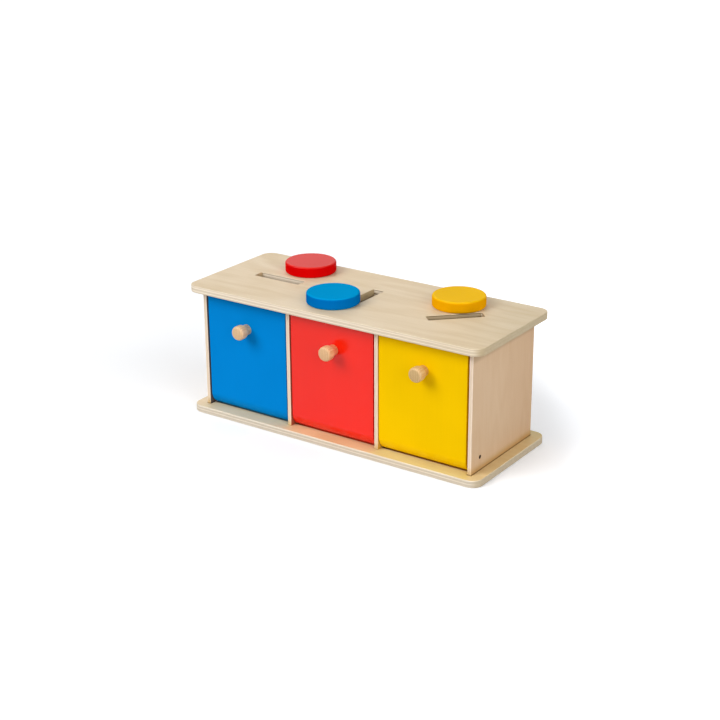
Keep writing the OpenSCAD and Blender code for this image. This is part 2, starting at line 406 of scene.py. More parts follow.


# Marks on the walls: painted warm bounce and shade at the foot with a dark line there, painted shade below
# the top board, towards the back and in the bores, and painted shade and thrown colour beside the bins' faces
def markWall(tree, colour, onFace):
    place = objectPlace(tree)
    x, y, z = splitPlace(place)
    foot, head, outside = nodeBox("base_board")[1][2], nodeBox("top_board")[0][2], nodeBox("right_wall")[1][0]
    # painted warm bounce and shade at the foot
    low = below(z, foot, foot + wallMarks["footShadeRise"])
    colour = tintOver(low, colour, tone(wallMarks["foot"]))
    shade = times(above(z, *(head - drop for drop in wallMarks["headDrop"])), onFace)
    colour = tintOver(shade, colour, tone(wallMarks["head"]))
    # painted shade towards the back
    colour = tintOver(above(y, *wallMarks["backShadeRamp"]), colour, tone(wallMarks["back"]))
    atFoot = below(z, *(foot + rise for rise in wallMarks["seamRise"]))
    colour = stain(colour, atFoot, seam)
    # painted shade and each face's thrown colour inside the bays, near the front
    inBay = below(apart(x, 0), *(outside - inset for inset in wallMarks["gapShadeInset"]))
    near = below(y, *wallMarks["gapShadeRamp"])
    wearAndGapShade = times(inBay, near, onFace, wallMarks["gapShadeShare"])
    colour = mixColour(wearAndGapShade, colour, byBay(x, wallMarks["wearAndGapShade"]))
    # painted shade in the bore round the rod
    acrossRod = put(tree, "VectorMath", {0: place, 1: (0, 1, 1)}, operation="MULTIPLY").outputs[0]
    axis = (0, pivotY * mm, pivotZ * mm)
    fromRod = put(tree, "VectorMath", {0: acrossRod, 1: axis}, operation="DISTANCE").outputs["Value"]
    return mixColour(below(fromRod, *wallMarks["boreR"]), colour, tone(wallMarks["boreShade"]))


baseMarks = {
    "warmBounce": {"front": (264, 253, 222), "back": (242, 238, 203)},  # tints of the right end: painted warm bounce and shade beside the right wall
    "warmBounceReach": 14,  # how far before the right wall's outer face it starts
    "warmBounceRamp": (25, 60),  # along Y, from the front's tint to the back's
    "thrown": {"blue": (250, 251, 247), "red": (255, 242, 219), "yellow": (252, 252, 212)},  # tints: painted bounce of each face's colour on the board in front of it
    "thrownRamp": (-46, -44),  # along Y
    "thrownHalf": (134, 142),  # along X, either way from the middle
    "thrownSoft": 8,
    "seamWidth": (0.3, 0.9),
    "upperHalf": (3.2, 4),  # heights at which the board's upper half begins
    # painted shade and thrown colour of each face in the trough below it
    "troughShadeAndBounce": {"blue": (58, 140, 172), "red": (255, 84, 28), "yellow": (204, 130, 12)},
    "troughDepth": (0.9, 0.2),  # below the top, where it is full and where it ends
    "troughHalf": (8.5, 9),  # along Y, either way from the pivot
    "troughReach": (139, 139.4),  # along X, either way from the middle
    "troughShare": 0.9,
}


# Marks on the base board: painted warm bounce and shade at the right end that deepens towards the back,
# painted bounce of the faces' colour in front of them, a dark line round the end walls' feet, and painted
# shade and thrown colour of the faces in the trough
def markBase(tree, colour, onFace):
    x, y, z = splitPlace(objectPlace(tree))
    low, high = nodeBox("right_wall")
    top = nodeBox("base_board")[1][2]
    fromMiddle = apart(x, 0)
    # painted warm bounce and shade at the right end
    front, back = (tone(baseMarks["warmBounce"][end]) for end in ("front", "back"))
    warmBounce = mixColour(above(y, *baseMarks["warmBounceRamp"]), front, back)
    atEnd = times(above(x, high[0] - baseMarks["warmBounceReach"], high[0]), onFace)
    colour = tintOver(atEnd, colour, warmBounce)
    # painted bounce of the faces' colour in front of them
    between = below(fromMiddle, *baseMarks["thrownHalf"])
    inFront = times(below(y, *baseMarks["thrownRamp"]), onFace, between)
    colour = tintOver(inFront, colour, byBay(x, baseMarks["thrown"], baseMarks["thrownSoft"]))
    fromWall = apart(fromMiddle, (low[0] + high[0]) / 2)
    outX = maths("SUBTRACT", fromWall, (high[0] - low[0]) / 2 * mm)
    outY = maths("SUBTRACT", apart(y, 0), high[1] * mm)
    upper = above(z, *baseMarks["upperHalf"])
    atWall = below(maths("MAXIMUM", outX, outY), *baseMarks["seamWidth"])
    colour = stain(colour, times(atWall, upper), seam)
    # painted shade and thrown colour of the faces in the trough
    sunk = times(below(z, *(top - depth for depth in baseMarks["troughDepth"])), upper)
    near = below(apart(y, pivotY), *baseMarks["troughHalf"])
    along = below(fromMiddle, *baseMarks["troughReach"])
    inTrough = times(sunk, near, along, baseMarks["troughShare"])
    return mixColour(inTrough, colour, byBay(x, baseMarks["troughShadeAndBounce"]))


topMarks = {
    "right": (251, 249, 243),  # tint
    "rightRamp": (0, 149),  # along X
    "corner": (244, 247, 250),  # tint of painted shade towards the far right corner
    "cornerShadeRamp": (60, 170),  # of X and Y together
    "slotsX": (135, 138),  # the slots lie within this, either way from the middle
    "slotsY": (40, 43),
    "slotEnd": (236, 229, 216),  # tint of the slots' walls across the grain
    "slotEndRamp": (0.3, 0.8),  # of the endFace mask
    "scorchAndShade": (112, 86, 50),
    "scorchAndShadeLines": [(0.9, (0.2, 0.55), 0.6), (4.1, (0.4, 0.8), 0.8)],  # depth, half width and soft end, share: a scorch below the rim, then painted shade deeper down
    "unlinedRamp": (0.75, 0.95),  # of the endFace mask
    "faintRamp": (-70, 0),  # along X, where the lines get to their full strength
    "faint": 0.5,  # its share before that
}


# Marks on the top board: a tint towards the right end and painted shade towards the far right corner; in the
# slots deeper end walls, a thin scorched line below the rim, and a broader line further down that is painted
# shade
def markTop(tree, colour, onFace):
    x, y, z = splitPlace(objectPlace(tree))
    top = nodeBox("top_board")[1][2]
    facing = mask(tree, "endFace")
    colour = tintOver(above(x, *topMarks["rightRamp"]), colour, tone(topMarks["right"]))
    # painted shade towards the far right corner
    corner = above(plus(x, y), *topMarks["cornerShadeRamp"])
    colour = tintOver(corner, colour, tone(topMarks["corner"]))
    withinX = below(apart(x, 0), *topMarks["slotsX"])
    withinY = below(apart(y, 0), *topMarks["slotsY"])
    inSlot = times(withinX, withinY, rest(onFace))
    ended = times(ramp(facing, *topMarks["slotEndRamp"]), inSlot)
    colour = tintOver(ended, colour, tone(topMarks["slotEnd"]))
    # the upper line is a scorch, the deeper one painted shade down in the slot
    lines = [times(below(apart(z, top - depth), *width), share)
             for depth, width, share in topMarks["scorchAndShadeLines"]]
    along = rest(ramp(facing, *topMarks["unlinedRamp"]))
    grown = times(above(x, *topMarks["faintRamp"]), 1 - topMarks["faint"])
    grown = plus(grown, topMarks["faint"])
    scorchAndShade = times(maths("MAXIMUM", *lines), inSlot, along, grown)
    return mixColour(scorchAndShade, colour, tone(topMarks["scorchAndShade"]))


# Tones of the face, and of the cut edge's layers along it, layers across it and end grain
bare = {"figure": 1.0, "pores": 0.2, "layers": 3}
bareEdge = {"along": (243, 217, 186), "across": (226, 198, 164), "end": (214, 186, 152)}
plywood = {
    "topPly": {
        "pale": (222, 204, 176), "deep": (205, 182, 146), "figure": 0.9, "pores": 0.12,
        "along": (224, 209, 186), "across": (244, 230, 209), "end": (207, 187, 152),
        "layers": 5, "grain": "x", "thickness": "z", "marks": markTop,
    },
    "basePly": {
        "pale": (229, 212, 182), "deep": (213, 191, 154), "figure": 0.9, "pores": 0.12,
        "along": (232, 221, 202), "across": (211, 198, 178), "end": (206, 189, 159),
        "layers": 5, "grain": "x", "thickness": "z", "marks": markBase,
    },
    "wallPly": {
        "pale": (221, 190, 154), "deep": (213, 178, 140), "figure": 0.8, "pores": 0.12,
        "along": (246, 226, 204), "across": (234, 213, 188), "end": (226, 202, 172),
        "layers": 3, "grain": "z", "thickness": "x", "marks": markWall,
    },
    "binPly": {
        "pale": (226, 198, 164), "deep": (214, 182, 145), **bareEdge,
        **bare, "grain": "z", "thickness": "x",
    },
    "backPly": {
        "pale": (232, 206, 172), "deep": (218, 188, 150), **bareEdge,
        **bare, "grain": "x", "thickness": "y",
    },
    "floorPly": {
        "pale": (232, 208, 174), "deep": (218, 190, 154),
        "along": (243, 219, 190), "across": (226, 200, 168), "end": (214, 188, 154),
        **bare, "grain": "x", "thickness": "z",
    },
}
sanded = {"specular": 0.3, "edgeRamp": (0.25, 0.7), "roughness": 0.42, "fibreRough": 0.2, "relief": 0.06}

# Turns that bring the grain to X and the thickness to Z
grainTurn = {("x", "z"): (0, 0, 0), ("z", "x"): (0, 90, 0), ("x", "y"): (90, 0, 0)}


def makePlywood(name):
    look = plywood[name]
    material, tree, principled = newMaterial(name, {"Specular IOR Level": sanded["specular"]})
    place = sheetPlace(tree, grainTurn[look["grain"], look["thickness"]])
    flat = {"Vector": place, "Pale": tone(look["pale"]), "Deep": tone(look["deep"])}
    flat.update({"Figure": look["figure"], "Pores": look["pores"]})
    face = put(tree, "Group", flat, node_tree=veneerFace).outputs
    cut = {label.title(): tone(look[label]) for label in ("along", "across", "end")}
    cut.update({"Vector": place, "Ply": mask(tree, "ply"), "End Face": mask(tree, "endFace")})
    edge = put(tree, "Group", {**cut, "Layers": float(look["layers"])}, node_tree=plyEdge).outputs
    onEdge = ramp(mask(tree, "rim"), *sanded["edgeRamp"])
    onFace = rest(onEdge)
    colour = mixColour(onEdge, face["Color"], edge["Color"])
    if "marks" in look:
        colour = look["marks"](tree, colour, onFace)
    roughness = plus(times(face["Height"], sanded["fibreRough"]), sanded["roughness"])
    height = plus(times(face["Height"], onFace), times(edge["Height"], onEdge))
    linkShader(tree, principled, colour, roughness, height, sanded["relief"])
    return material


# on the discs the paler top is partly a painted sheen and the deeper side partly painted shade
paints = {
    "blueFace": {"paint": (0, 132, 212), "side": (0, 118, 196), "worn": (20, 146, 218), "gloss": 0.04},
    "redFace": {"paint": (245, 26, 0), "side": (232, 16, 4), "worn": (250, 70, 56), "gloss": 0.78},
    "yellowFace": {"paint": (246, 198, 0), "side": (236, 182, 0), "worn": (250, 208, 40), "gloss": 0.04},
    "blueDisc": {"paint": (0, 147, 206), "side": (0, 109, 186), "worn": (10, 140, 206), "gloss": 0.01},
    "redDisc": {"paint": (216, 20, 0), "side": (214, 0, 2), "worn": (224, 40, 36), "gloss": 0.47},
    "yellowDisc": {"paint": (238, 186, 8), "side": (235, 165, 2), "worn": (240, 190, 40), "gloss": 0.1},
}
rolled = {"specular": 0.0, "coatRoughness": 0.2, "relief": 0.006}


def makePaint(name):
    look = paints[name]
    shader = {"Specular IOR Level": rolled["specular"], "Coat Roughness": rolled["coatRoughness"]}
    material, tree, principled = newMaterial(name, shader)
    inputs = {label.title(): tone(look[label]) for label in ("paint", "side", "worn")}
    place = sheetPlace(tree, grainTurn["z", "x"])
    inputs.update({"Vector": place, "Rim": mask(tree, "rim"), "Gloss": look["gloss"]})
    coat = put(tree, "Group", inputs, node_tree=satinPaint).outputs
    tree.links.new(coat["Gloss"], principled.inputs["Coat Weight"])
    linkShader(tree, principled, coat["Color"], coat["Roughness"], coat["Height"], rolled["relief"])
    return material


knobWood = {
    "pale": (240, 208, 166),
    "deep": (214, 170, 122),
    "ringsPerMetre": 620,
    "ringShare": 0.28,
    "bend": (60, 12, 60),
    "bendTurn": 5.0,  # radians by which the rings wander
    "fibres": (2200, 90, 2200),
    "flecks": (3000, 260, 1500),
    "fleckRamp": (0.64, 0.74),
    "fleck": {"tone": (170, 120, 78), "share": 0.4},
    "front": {"blue": (240, 240, 240), "red": (243, 234, 226), "yellow": (220, 219, 198)},  # tints
    "edge": {"blue": (252, 252, 255), "red": (255, 243, 234), "yellow": (246, 243, 226)},
    "edgeRamp": (0.12, 0.6),  # of the rim mask
    # tints of painted bounce and shade from each face on the knob's root
    "root": {"blue": (225, 230, 240), "red": (240, 190, 168), "yellow": (232, 214, 156)},
    "rootLength": 8,
    "specular": 0.35,
    "roughness": 0.36,
    "fibreRough": 0.2,
    "relief": 0.04,
}


# Solid wood turned on its axis: growth rings are near-flat sheets across X, fibres run along Y, and each knob
# has its own tints on the front and the edge, and on the root a painted bounce and shade of the face's colour
def makeKnobWood():
    material, tree, principled = newMaterial("knobWood", {"Specular IOR Level": knobWood["specular"]})
    place = objectPlace(tree)
    x, y = splitPlace(place)[:2]
    bend = times(noise(place, knobWood["bend"]), knobWood["bendTurn"])
    turns = times(x, 2 * math.pi * knobWood["ringsPerMetre"])
    rings = times(maths("SINE", plus(turns, bend)), knobWood["ringShare"])
    fibre = noise(place, knobWood["fibres"])
    share = maths("ADD", rings, fibre, clamp=True)
    wood = mixColour(share, tone(knobWood["pale"]), tone(knobWood["deep"]))
    fleck = ramp(noise(place, knobWood["flecks"], detail=1), *knobWood["fleckRamp"])
    wood = stain(wood, fleck, knobWood["fleck"])
    foot = nodeBox("blue_knob")[1][1]
    rooted = above(y, foot - knobWood["rootLength"], foot)
    front, edge, root = (byBay(x, knobWood[part]) for part in ("front", "edge", "root"))
    head = mixColour(ramp(mask(tree, "rim"), *knobWood["edgeRamp"]), front, edge)
    colour = tintOver(1.0, wood, mixColour(rooted, head, root))
    roughness = plus(times(fibre, knobWood["fibreRough"]), knobWood["roughness"])
    linkShader(tree, principled, colour, roughness, fibre, knobWood["relief"])
    return material


steels = {
    "steel": {"bright": (196, 198, 202), "dull": (150, 152, 158), "end": (190, 192, 196), "roughness": 0.2},
    # the rod's dark end tone is painted shade of the bores its ends sit in
    "rodSteel": {"bright": (176, 178, 182), "dull": (130, 132, 138), "end": (52, 44, 36), "roughness": 0.3},
}
drawn = {
    "lines": (900, 5200, 5200),
    "patches": (210, 210, 210),
    "dullRamp": (0.35, 0.7),
    "sideRamp": (0.3, 0.8),  # of the rim mask
    "dullRough": 0.2,
    "lineRough": 0.1,
    "relief": 0.01,
}


# Drawn steel: fine lines along the pivot's axis, dull patches, and ends of their own tone; the rod's dark
# ends are painted shade of the bores they sit in
def makeSteel(name):
    look = steels[name]
    material, tree, principled = newMaterial(name, {"Metallic": 1.0})
    place = objectPlace(tree)
    lines = noise(place, drawn["lines"])
    dull = ramp(noise(place, drawn["patches"], detail=3), *drawn["dullRamp"])
    side = mixColour(dull, tone(look["bright"]), tone(look["dull"]))
    onSide = ramp(mask(tree, "rim"), *drawn["sideRamp"])
    colour = mixColour(onSide, tone(look["end"]), side)
    worn = plus(times(dull, drawn["dullRough"]), times(lines, drawn["lineRough"]))
    linkShader(tree, principled, colour, plus(worn, look["roughness"]), lines, drawn["relief"])
    return material


finish = {name: makePlywood(name) for name in plywood}
finish.update({name: makePaint(name) for name in paints})
finish["knobWood"] = makeKnobWood()
finish.update({name: makeSteel(name) for name in steels})
print("finishes built:", ", ".join(finish))


# Shapes

easeSteps = 5  # rings on each eased rim
arcSteps = 8  # stretches on each arc of an outline

# Which of X, Y and Z a sheet's u, v and w are, w going through it
sheetAxes = {"x": (1, 2, 0), "y": (2, 0, 1), "z": (0, 1, 2)}

# Rows turn (u, v, w) into X, Y and Z, for a shape carried or turned along w
carried = {along: np.eye(3)[list(axes)] for along, axes in sheetAxes.items()}
carried["forward"] = np.array([[1, 0, 0], [0, 0, 1], [0, -1, 0]])


# Corners of a rectangle between two limits, anticlockwise
def rectangle(lowU, lowV, highU, highV):
    return [(lowU, lowV), (highU, lowV), (highU, highV), (lowU, highV)]


# Rows of centre, radius and two angles: one arc in each corner of a convex polygon, touching both its sides
def filletArcs(corners, radius):
    corner = np.array(corners, float)
    side = np.roll(corner, -1, axis=0) - corner
    out = np.stack([side[:, 1], -side[:, 0]], 1) / np.linalg.norm(side, axis=1)[:, None]
    before = np.roll(out, 1, axis=0)
    centre = corner - radius * (before + out) / (1 + (before * out).sum(1))[:, None]
    start = np.degrees(np.arctan2(before[:, 1], before[:, 0]))
    turn = (np.degrees(np.arctan2(out[:, 1], out[:, 0])) - start) % 360
    return np.column_stack([centre, np.full(len(corner), radius), start, start + turn])


# A circle as four arcs, each a degree short so that no two points fall together
def circleArcs(u, v, radius):
    quarter = np.arange(4) * 90.0
    return np.column_stack([np.tile([u, v, radius], (4, 1)), quarter, quarter + 89])


# A point on an arc is the centre plus the radius times its normal; straight lines join the arcs
def arcOutline(arcs):
    share = np.linspace(0, 1, arcSteps + 1)
    angle = np.radians(arcs[:, 3:4] + (arcs[:, 4:5] - arcs[:, 3:4]) * share).ravel()
    normal = np.stack([np.cos(angle), np.sin(angle)], 1)
    centre = np.repeat(arcs[:, :2], arcSteps + 1, axis=0)
    return centre + np.repeat(arcs[:, 2], arcSteps + 1)[:, None] * normal, normal


# Four-sided faces of a grid that closes on itself along its second index
def ringFaces(rows, columns, first, inward=False):
    i, j = np.meshgrid(np.arange(rows - 1), np.arange(columns), indexing="ij")
    after = (j + 1) % columns
    corners = [i * columns + j, i * columns + after, (i + 1) * columns + after, (i + 1) * columns + j]
    faces = first + np.stack(corners, -1).reshape(-1, 4)
    return faces[:, ::-1] if inward else faces


# The same grid closed at both ends by a fan of triangles round a pole; the poles come after the grid's points
def poledFaces(rows, columns):
    j = np.arange(columns)
    after, last, pole = (j + 1) % columns, (rows - 1) * columns, np.full(columns, rows * columns)
    fans = np.concatenate([np.stack([pole, after, j], 1), np.stack([pole + 1, last + j, last + after], 1)])
    return ringFaces(rows, columns, 0).tolist() + fans.tolist()


# Wall of a sheet: the outline goes from low to high, and at each rim a quarter round of angle a
# draws it in by ease * (1 - cos a) and along by ease * (1 - sin a); the wall of a hole opens out instead,
# and that of a pocket opens out at the top and is filleted at its foot
def sheetWall(arcs, low, high, ease, kind="outer"):
    outline, normal = arcOutline(arcs)
    turn = np.radians(np.linspace(90, 0, easeSteps + 1))
    angle = np.concatenate([turn, turn[::-1]])
    level = np.concatenate([low + ease * (1 - np.sin(turn)), high - ease * (1 - np.sin(turn[::-1]))])
    side = 1 if kind == "outer" else -1
    foot = -1 if kind == "pocket" else 1
    lean = np.concatenate([-foot * np.sin(turn), np.sin(turn[::-1])])
    drawIn = side * ease * (1 - np.cos(angle)) * np.repeat([foot, 1], easeSteps + 1)
    plan = outline[None] - drawIn[:, None, None] * normal[None]
    flat = side * np.cos(angle)[:, None, None] * normal[None]
    grid = (len(level), len(outline), 1)
    points = np.concatenate([plan, np.broadcast_to(level[:, None, None], grid)], 2)
    normals = np.concatenate([flat, np.broadcast_to(lean[:, None, None], grid)], 2)
    return points, normals


# Flat fill between rims, as triples of indices into the rims in turn, all facing up
def flatFill(rims):
    fill = np.array(geometry.tessellate_polygon([(rim * (1, 1, 0)).tolist() for rim in rims]))
    corner = np.concatenate(rims)[fill][:, :, :2]
    one, two = corner[:, 1] - corner[:, 0], corner[:, 2] - corner[:, 0]
    clockwise = one[:, 0] * two[:, 1] < one[:, 1] * two[:, 0]
    fill[clockwise] = fill[clockwise][:, ::-1]
    return fill


# Sheet cut to an outline, with eased rims; each cut is an outline and a floor level, None for a hole
def easedSheet(along, arcs, low, high, ease, cuts=(), cutEase=0):
    walls = [sheetWall(arcs, low, high, ease)]
    for cut, floor in cuts:
        hole = floor is None
        walls.append(sheetWall(cut, low if hole else floor, high, cutEase, "hole" if hole else "pocket"))
    opens = [True] + [floor is None for _, floor in cuts]
    rows = 2 * (easeSteps + 1)
    counts = [len(points[0]) for points, _ in walls]
    firsts = np.cumsum([0] + [rows * n for n in counts])[:-1]
    lowRims = [first + np.arange(n) for n, first in zip(counts, firsts)]
    highRims = [rim + (rows - 1) * n for n, rim in zip(counts, lowRims)]
    faces = []
    for k, (n, first) in enumerate(zip(counts, firsts)):
        faces += ringFaces(rows, n, first, inward=k > 0).tolist()
    faces += np.concatenate(highRims)[flatFill([points[-1] for points, _ in walls])].tolist()
    lowFill = flatFill([points[0] for (points, _), through in zip(walls, opens) if through])[:, ::-1]
    openRims = [rim for rim, through in zip(lowRims, opens) if through]
    faces += np.concatenate(openRims)[lowFill].tolist()
    for (points, _), rim, through in zip(walls, lowRims, opens):
        if not through:
            faces += rim[flatFill([points[0]])].tolist()
    points = np.concatenate([p.reshape(-1, 3) for p, _ in walls]) @ carried[along]
    normals = np.concatenate([n.reshape(-1, 3) for _, n in walls]) @ carried[along]
    return points, normals, faces


# Sheet that fills a box, with rounded corners and eased rims
def boxSheet(along, box, cornerR, ease, cuts=(), cutEase=0):
    low, high = box
    u, v, w = sheetAxes[along]
    arcs = filletArcs(rectangle(low[u], low[v], high[u], high[v]), cornerR)
    return easedSheet(along, arcs, low[w], high[w], ease, cuts, cutEase)


# Turned piece: a half profile of radius and height goes round an axis, closed by a point at each end
def turnedShape(along, profile, lean, centre, steps):
    angle = np.linspace(0, 2 * np.pi, steps, endpoint=False)
    ring = np.stack([np.cos(angle), np.sin(angle)], 1)
    grid = (len(profile), steps, 1)
    level, tilt = (np.broadcast_to(part[:, 1, None, None], grid) for part in (profile, lean))
    points = np.concatenate([profile[:, 0, None, None] * ring[None], level], 2).reshape(-1, 3)
    normals = np.concatenate([lean[:, 0, None, None] * ring[None], tilt], 2).reshape(-1, 3)
    poles = np.array([[0, 0, profile[0, 1]], [0, 0, profile[-1, 1]]])
    points = np.concatenate([points, poles]) @ carried[along] + np.array(centre)
    normals = np.concatenate([normals, [[0, 0, -1], [0, 0, 1]]]) @ carried[along]
    return points, normals, poledFaces(len(profile), steps)


# Half profile of a round bar and its normals: two outer corners of a rectangle, each rounded by an arc
def barProfile(radius, low, high, cornerR):
    return arcOutline(filletArcs(rectangle(-radius, low, radius, high), cornerR)[1:3])


# Normals of a profile, square to its run
def profileLean(profile):
    run = np.gradient(profile, axis=0)
    lean = np.stack([run[:, 1], -run[:, 0]], 1)
    return lean / np.linalg.norm(lean, axis=1)[:, None]


# Makes the object, named as its node with an ending, and gives each point three masks: ply is 0 to 1 through
# the thickness, rim is 0 on the broad faces and 1 on the edges, endFace is 1 where the edge cuts the grain
def makePiece(node, ending, body, look, shape, thickness, grain):
    points, normals, faces = shape
    mesh = bpy.data.meshes.new(node + ending)
    mesh.from_pydata((points * mm).tolist(), [], faces)
    mesh.update()
    through = points @ axisRow[thickness]
    facing = normals @ axisRow[thickness]
    masks = {
        "ply": (through - through.min()) / np.ptp(through),
        "rim": np.sqrt(np.clip(1 - facing**2, 0, 1)),
        "endFace": np.abs(normals @ axisRow[grain]),
    }
    for label, values in masks.items():
        mesh.attributes.new(label, "FLOAT", "POINT").data.foreach_set("value", values.astype(np.float32))
    mesh.polygons.foreach_set("use_smooth", np.ones(len(faces), bool))
    mesh.normals_split_custom_set_from_vertices(normals.tolist())
    mesh.materials.append(finish[look])
    piece = addObject(node + ending, mesh)
    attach(piece, body)
    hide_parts(node)


# Boards

board = {
    "cornerR": 10,
    "ease": 0.8,
    "slotL": 48,
    "slotW": 10.8,
    "slotCornerR": 1,
    "slotEase": 0.5,
    "slots": {"blue": (0, 0, 0), "red": (0.5, -2.5, 90), "yellow": (0, 0, 45)},  # off the bay's middle, turn
    "troughHalf": (133.8, 8.1),  # half length and half width of the trough below the pivot
    "troughDepth": 2,
    "baseEase": 0.3,  # rounding of the trough's and the grooves' rims
    "groovePlay": 0.35,
    "grooveDepth": 2.5,
}


# Rectangle turned about its middle and moved to its place over a bay
def slotArcs(bay):
    x, y, turn = board["slots"][bay]
    bayMiddle = hinge[bay + "_bin"]["pos_m"][0] / mm
    halfL, halfW = board["slotL"] / 2, board["slotW"] / 2
    angle = math.radians(turn)
    spin = np.array([[math.cos(angle), math.sin(angle)], [-math.sin(angle), math.cos(angle)]])
    corners = np.array(rectangle(-halfL, -halfW, halfL, halfW)) @ spin + (bayMiddle + x, y)
    return filletArcs(corners, board["slotCornerR"])


# Rectangle along the pivot
def troughArcs():
    halfL, halfW = board["troughHalf"]
    return filletArcs(rectangle(-halfL, pivotY - halfW, halfL, pivotY + halfW), board["slotCornerR"])


# Groove that an end wall stands in, with its play all round
def grooveArcs(node):
    low, high = nodeBox(node)
    low, high = low - board["groovePlay"], high + board["groovePlay"]
    return filletArcs(rectangle(low[0], low[1], high[0], high[1]), board["baseEase"])


def makeBoard(node, ply, cuts, cutEase):
    shape = boxSheet("z", nodeBox(node), board["cornerR"], board["ease"], cuts, cutEase)
    makePiece(node, "_eased", "case", ply, shape, "z", "x")


baseTop = nodeBox("base_board")[1][2]
baseCuts = [(grooveArcs(node), baseTop - board["grooveDepth"]) for node in ("left_wall", "right_wall")]
baseCuts.append((troughArcs(), baseTop - board["troughDepth"]))
topCuts = [(slotArcs(bay), None) for bay in bays]
makeBoard("base_board", "basePly", baseCuts, board["baseEase"])
makeBoard("top_board", "topPly", topCuts, board["slotEase"])
print("boards made")


# Walls, back panel and pivot rod

wall = {"ease": 0.5, "cornerR": 0.6, "rodHoleR": 1.55, "holeEase": 0.25}


def makeWall(node):
    cuts = [(circleArcs(pivotY, pivotZ, wall["rodHoleR"]), None)]
    shape = boxSheet("x", nodeBox(node), wall["cornerR"], wall["ease"], cuts, wall["holeEase"])
    makePiece(node, "_eased", "case", "wallPly", shape, "x", "z")


def makeBackPanel():
    shape = boxSheet("y", nodeBox("back_panel"), wall["cornerR"], wall["ease"])
    makePiece("back_panel", "_eased", "case", "backPly", shape, "y", "x")


rod = {"edgeR": 0.35, "steps": 40}


def makeRod():
    low, high = nodeBox("pivot_rod")
    profile, lean = barProfile((high[2] - low[2]) / 2, low[0], high[0], rod["edgeR"])
    shape = turnedShape("x", profile, lean, (0, pivotY, pivotZ), rod["steps"])
    makePiece("pivot_rod", "_drawn", "case", "rodSteel", shape, "x", "x")


for node in ("left_wall", "right_wall", "left_divider", "right_divider"):
    makeWall(node)
makeBackPanel()
makeRod()
print("walls, back panel and rod made")


# Bins

tray = {
    "faceEase": 0.6,
    "faceCornerR": 0.6,
    "sheetEase": 0.6,
    "sheetCornerR": 0.7,
    "rodHoleR": 1.6,
    "holeEase": 0.25,
    "play": {"blue": 0, "red": -0.3, "yellow": -0.9},  # where each bin lies on the rod, along X
}


# Box of a bin's sheet, moved to where the bin lies
def sheetBox(bay, piece):
    low, high = nodeBox(bay + piece)
    play = tray["play"][bay] * axisRow["x"]
    return low + play, high + play


# Side view of a face: its front rolls in about the pivot, and a small arc joins the roll to the flat foot
def faceArcs(low, high):
    r, roll = tray["faceCornerR"], pivotY - low[1]
    drop = pivotZ - low[2] - r
    reach = math.sqrt((roll - r) ** 2 - drop**2)
    touch = 180 + math.degrees(math.atan2(drop, reach))
    foot = [(pivotY, pivotZ, roll, 180, touch), (pivotY - reach, low[2] + r, r, touch, 270)]
    return np.concatenate([foot, filletArcs(rectangle(low[1], low[2], high[1], high[2]), r)[1:]])


def makeFace(bay):
    low, high = sheetBox(bay, "_face")
    shape = easedSheet("x", faceArcs(low, high), low[0], high[0], tray["faceEase"])
    makePiece(bay + "_face", "_painted", bay + "_bin", bay + "Face", shape, "y", "z")


# The top edge of a side slants from its own height at the face to the back's
def makeSide(bay, side):
    low, high = sheetBox(bay, side)
    rear = sheetBox(bay, "_back")[1][2]
    corners = [(low[1], low[2]), (high[1], low[2]), (high[1], rear), (low[1], high[2])]
    arcs = filletArcs(corners, tray["sheetCornerR"])
    cuts = [(circleArcs(pivotY, pivotZ, tray["rodHoleR"]), None)]
    shape = easedSheet("x", arcs, low[0], high[0], tray["sheetEase"], cuts, tray["holeEase"])
    makePiece(bay + side, "_eased", bay + "_bin", "binPly", shape, "x", "z")


# Floor or back
def makePanel(bay, piece, along, ply):
    shape = boxSheet(along, sheetBox(bay, piece), tray["sheetCornerR"], tray["sheetEase"])
    makePiece(bay + piece, "_eased", bay + "_bin", ply, shape, plywood[ply]["thickness"], "x")


# Knobs and their screws

knob = {
    "neckD": 9.5,
    "headStart": 2.6,  # height at which the neck begins to swell into the head
    "swell": 5.6,  # length of that swell
    "frontEase": 2.2,
    "dome": 0.35,  # crown of the front face
    "core": 0.2,  # radius of the last ring, round the pole
    "rings": (26, 11, 9),  # on the neck and swell, the front edge and the crown
    "steps": 64,
}


# Half profile: a plain neck, a smooth-step swell, a quarter-round front edge and a low crown
def knobProfile(headR, length):
    neckRings, edgeRings, crownRings = knob["rings"]
    neckR, flatR, rim = knob["neckD"] / 2, headR - knob["frontEase"], length - knob["dome"]
    rise = np.linspace(0, rim - knob["frontEase"], neckRings)
    swell = np.clip((rise - knob["headStart"]) / knob["swell"], 0, 1)
    radius = neckR + (headR - neckR) * swell**2 * (3 - 2 * swell)
    turn = np.radians(np.linspace(0, 90, edgeRings))[1:]
    edgeR = headR - knob["frontEase"] * (1 - np.cos(turn))
    edgeH = rim - knob["frontEase"] * (1 - np.sin(turn))
    crownR = np.linspace(flatR, knob["core"], crownRings)[1:]
    crownH = rim + knob["dome"] * (1 - (crownR / flatR) ** 2)
    return np.stack([np.concatenate([radius, edgeR, crownR]), np.concatenate([rise, edgeH, crownH])], 1)


def makeKnob(bay):
    low, high = nodeBox(bay + "_knob")
    x, _, z = (low + high) / 2
    profile = knobProfile((high[0] - low[0]) / 2, high[1] - low[1])
    shape = turnedShape("forward", profile, profileLean(profile), (x, high[1], z), knob["steps"])
    makePiece(bay + "_knob", "_turned", bay + "_bin", "knobWood", shape, "y", "y")


